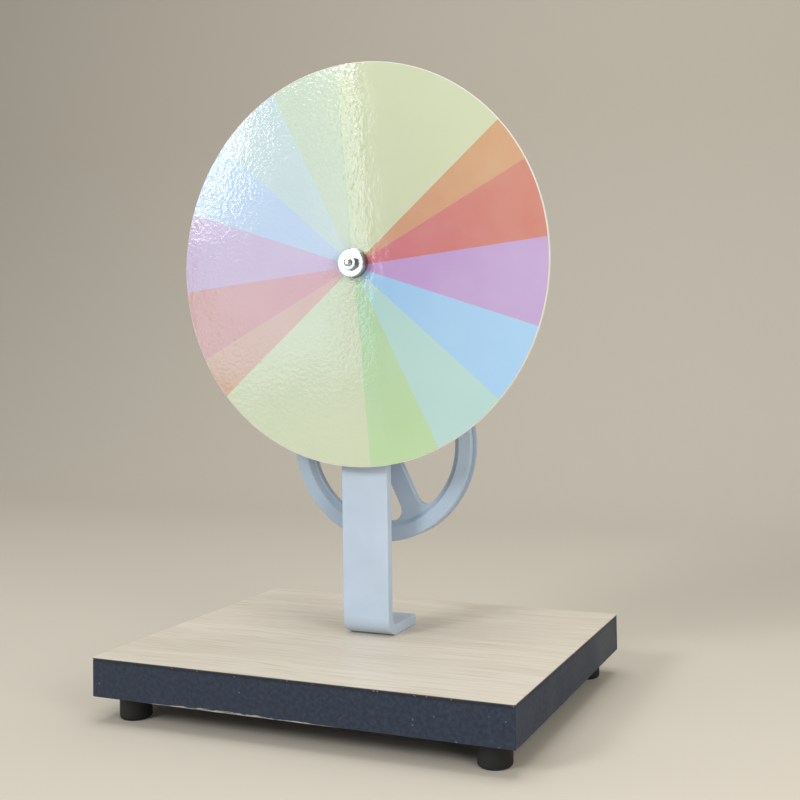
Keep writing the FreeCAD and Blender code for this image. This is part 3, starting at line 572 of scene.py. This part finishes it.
def makeBushThread():
    radius, pitch = bushThread["radius"], bushThread["pitch"]
    axis = nodeCentre("spindle_bush")
    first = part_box("bush_nut")[1].y
    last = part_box("spindle_bush")[1].y - bushThread["runOut"]
    foot, crest = bushThread["halfFoot"] * pitch, bushThread["halfCrest"] * pitch
    inner, outer = radius - bushThread["root"], radius + bushThread["proud"]
    section = [(inner, -foot), (outer, -crest), (outer, crest), (inner, foot)]
    bm = bmesh.new()
    corners = [bm.verts.new((axis.x + out, first + pitch / 2 + along, axis.z)) for out, along in section]
    profile = bm.faces.new(corners)
    turns = (last - first) / pitch - 1
    steps = int(turns * bushThread["stepsPerTurn"])
    bmesh.ops.spin(bm, geom=[profile], cent=(axis.x, 0, axis.z), axis=(0, 1, 0), angle=turns * 2 * math.pi,
                   dvec=(0, turns * pitch / steps, 0), steps=steps, use_duplicate=False)
    bmesh.ops.remove_doubles(bm, verts=bm.verts, dist=0.000001)
    bmesh.ops.recalc_face_normals(bm, faces=bm.faces)
    ridge = addMesh("bushThread", bm, finishes["brass"])
    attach(ridge, "stand")


makeBushThread()
print("thread wound")


# stage, camera and light

stage = {"colour": srgb(205, 197, 183), "roughness": 0.9, "gloss": 0.1,
         "front": -3.6, "back": 1.1, "half": 3.2, "wall": 1.8, "cove": 0.55, "coveSteps": 24}


def makeStage():   # one sheet of paper that curves up into a wall
    material, tree, shader = newMaterial("paperSweep")
    shader.inputs["Base Color"].default_value = stage["colour"]
    shader.inputs["Roughness"].default_value = stage["roughness"]
    shader.inputs["Specular IOR Level"].default_value = stage["gloss"]
    bm = bmesh.new()
    outline = ((stage["front"], 0), (stage["back"], 0), (stage["back"], stage["wall"]))
    front, corner, top = [bm.verts.new((-stage["half"], y, z)) for y, z in outline]
    bm.edges.new((front, corner))
    bm.edges.new((corner, top))
    bmesh.ops.bevel(bm, geom=[corner], offset=stage["cove"], segments=stage["coveSteps"], profile=0.5,
                    affect="VERTICES", material=-1)
    made = bmesh.ops.extrude_edge_only(bm, edges=list(bm.edges))
    farSide = [part for part in made["geom"] if isinstance(part, bmesh.types.BMVert)]
    bmesh.ops.translate(bm, vec=(2 * stage["half"], 0, 0), verts=farSide)
    bmesh.ops.recalc_face_normals(bm, faces=bm.faces)
    for face in bm.faces:
        face.smooth = True
    sweep = addMesh("stageSweep", bm, material)


view = {"place": (0.25453, -0.50377, 0.16825), "turn": 22.808, "tilt": 2.348, "roll": -0.921,   # degrees
        "focalPixels": 1123.3, "centrePixel": (444.8, 307.8), "imageSize": 800}


def makeCamera():
    data = bpy.data.cameras.new("photoCamera")
    camera = addObject("photoCamera", data)
    data.sensor_fit = "HORIZONTAL"
    data.lens = view["focalPixels"] / view["imageSize"] * data.sensor_width
    data.shift_x = 0.5 - view["centrePixel"][0] / view["imageSize"]
    data.shift_y = view["centrePixel"][1] / view["imageSize"] - 0.5
    turn, tilt, roll = (math.radians(view[key]) for key in ("turn", "tilt", "roll"))
    rotation = Matrix.Rotation(turn, 4, "Z")
    rotation = rotation @ Matrix.Rotation(math.pi / 2 + tilt, 4, "X")
    rotation = rotation @ Matrix.Rotation(roll, 4, "Z")
    camera.matrix_world = Matrix.Translation(view["place"]) @ rotation
    bpy.context.scene.camera = camera


# name, place, the point it aims at, turn in degrees, width and height, watts, colour, and what shows it
lamps = [
    ("windowPane", (-0.808, -1.20, 0.45), (-0.808, 0, 0.45), 4.7,
     (0.36, 0.64), 2.4, (0.52, 0.76, 1.0), "gloss"),
    ("windowSill", (-0.77, -1.20, -0.01), (-0.77, 0, -0.01), 4.7,
     (0.36, 0.28), 0.3, (0.60, 0.78, 1.0), "gloss"),
    ("windowGlow", (-0.89, -1.19, 0.53), (-0.89, 0, 0.53), -25,
     (0.07, 0.25), 0.62, (0.97, 0.97, 1.0), "gloss"),
    ("windowFrame", (-0.61, -1.19, 0.51), (-0.61, 0, 0.51), 4.7,
     (0.045, 0.42), 0.3, (1.0, 1.0, 0.95), "gloss"),
    ("windowLatch", (-0.612, -1.19, 0.322), (-0.612, 0, 0.322), 0,
     (0.06, 0.06), 0.026, (1.0, 1.0, 0.98), "gloss"),
    ("windowHigh", (-0.75, -1.50, 1.05), (0, 0, 0.15), 0,
     (0.5, 0.5), 14.5, (0.97, 0.99, 1.0), "both"),
    ("panelRight", (0.56, -0.39, 0.30), (0, 0, 0.18), 0,
     (0.3, 0.4), 2.3, (1.0, 0.97, 0.92), "matt"),
    ("overhead", (0.02, -0.04, 1.40), (0, 0, 0.05), 0,
     (0.9, 0.9), 8.4, (1.0, 0.99, 0.97), "both"),
]


def makeLamps():
    for name, place, aim, turn, size, watts, colour, seen in lamps:
        data = bpy.data.lights.new(name, "AREA")
        data.shape = "RECTANGLE"
        data.size, data.size_y = size
        data.energy = watts
        data.color = colour
        lamp = addObject(name, data)
        aimed = (Vector(aim) - Vector(place)).to_track_quat("-Z", "Y").to_matrix().to_4x4()
        lamp.matrix_world = Matrix.Translation(place) @ aimed @ Matrix.Rotation(math.radians(turn), 4, "Z")
        lamp.visible_diffuse = seen != "gloss"
        lamp.visible_glossy = seen != "matt"


room = {"below": (0.10, 0.10, 0.11, 1.0), "above": (0.40, 0.42, 0.44, 1.0), "heights": (-0.25, 0.75),
        "paper": srgb(172, 166, 154)}   # past the sweep's edge the camera, metal and gloss see more paper


def makeWorld():
    world = bpy.data.worlds.new("softRoom")
    world.use_nodes = True
    tree = world.node_tree
    way = splitPoint(tree, addNode(tree, "ShaderNodeTexCoord").outputs["Generated"])
    light = mixColours(tree, rangeNode(tree, way["Z"], room["heights"]), room["below"], room["above"])
    path = addNode(tree, "ShaderNodeLightPath").outputs
    seen = mathNode(tree, "MAXIMUM", path["Is Camera Ray"], path["Is Glossy Ray"])
    seen = mathNode(tree, "MAXIMUM", seen, path["Is Transmission Ray"])
    wire(tree, mixColours(tree, seen, light, room["paper"]), tree.nodes["Background"].inputs["Color"])
    bpy.context.scene.world = world


makeStage()
makeCamera()
makeLamps()
makeWorld()
bpy.context.scene.view_settings.view_transform = "Standard"
print("stage, camera and light set")
